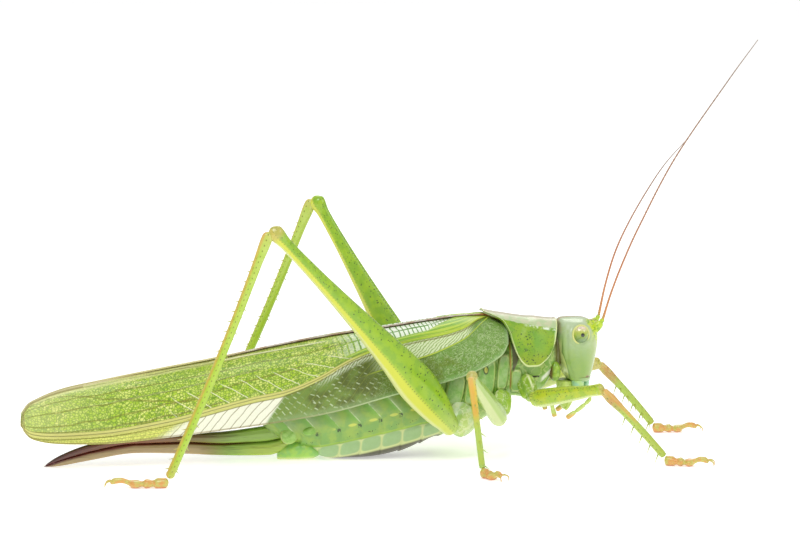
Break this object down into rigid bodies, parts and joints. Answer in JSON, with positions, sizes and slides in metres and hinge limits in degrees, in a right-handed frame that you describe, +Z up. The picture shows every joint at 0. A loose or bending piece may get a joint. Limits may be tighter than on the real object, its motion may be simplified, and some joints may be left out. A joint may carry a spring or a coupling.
{
  "type": "great green bush-cricket",
  "caption": "Life-size still model of a great green bush-cricket, an adult female with long wings, sword-shaped ovipositor and long feelers, standing on the floor.",
  "frame": {"origin": "middle of the model's box at floor level, below the belly", "axes": "+X towards the head along the body's mid-plane, +Y to the animal's left, +Z up"},
  "size_m": [0.0794, 0.0458, 0.0449],
  "materials": {
    "head_skin": "smooth jade-green cuticle, pale at the front",
    "eye": "polished, fine facets",
    "mouthparts": "smooth cuticle",
    "feeler": "finely ringed thread, orange-brown fading to grey",
    "shield": "glossy, dark pits",
    "trunk": "soft waxy cuticle",
    "front_wing": "leathery membrane with a net of raised veins",
    "hind_wing": "clear folded membrane",
    "leg": "satin cuticle with rows of dark dots",
    "foot": "satin cuticle, orange-brown pads",
    "sword": "polished horn, green at the base and dark red-brown at the tip"
  },
  "bodies": {
    "root": {"head": "head_skin", "eye_right": "eye", "eye_left": "eye", "antenna_base_right": "head_skin", "antenna_base_left": "head_skin", "antenna_right": "feeler", "antenna_left": "feeler", "labrum": "mouthparts", "mandible_right": "mouthparts", "mandible_left": "mouthparts", "labium": "mouthparts", "maxillary_palp_right": "mouthparts", "maxillary_palp_left": "mouthparts", "labial_palp_right": "mouthparts", "labial_palp_left": "mouthparts", "pronotum": "shield", "prothorax": "trunk", "pterothorax": "trunk", "abdomen": "trunk", "subgenital_plate": "trunk", "cercus_right": "trunk", "cercus_left": "trunk", "ovipositor_upper": "sword", "ovipositor_lower": "sword", "tegmen_right": "front_wing", "tegmen_left": "front_wing", "hindwing_right": "hind_wing", "hindwing_left": "hind_wing", "hind_coxa_right": "trunk", "hind_coxa_left": "trunk", "hind_femur_right": "leg", "hind_femur_left": "leg", "hind_tibia_right": "leg", "hind_tibia_left": "leg", "hind_tarsus_right": "foot", "hind_tarsus_left": "foot", "mid_coxa_right": "trunk", "mid_coxa_left": "trunk", "mid_femur_right": "leg", "mid_femur_left": "leg", "mid_tibia_right": "leg", "mid_tibia_left": "leg", "mid_tarsus_right": "foot", "mid_tarsus_left": "foot", "front_coxa_right": "trunk", "front_coxa_left": "trunk", "front_femur_right": "leg", "front_femur_left": "leg", "front_tibia_right": "leg", "front_tibia_left": "leg", "front_tarsus_right": "foot", "front_tarsus_left": "foot"}
  },
  "joints": []
}
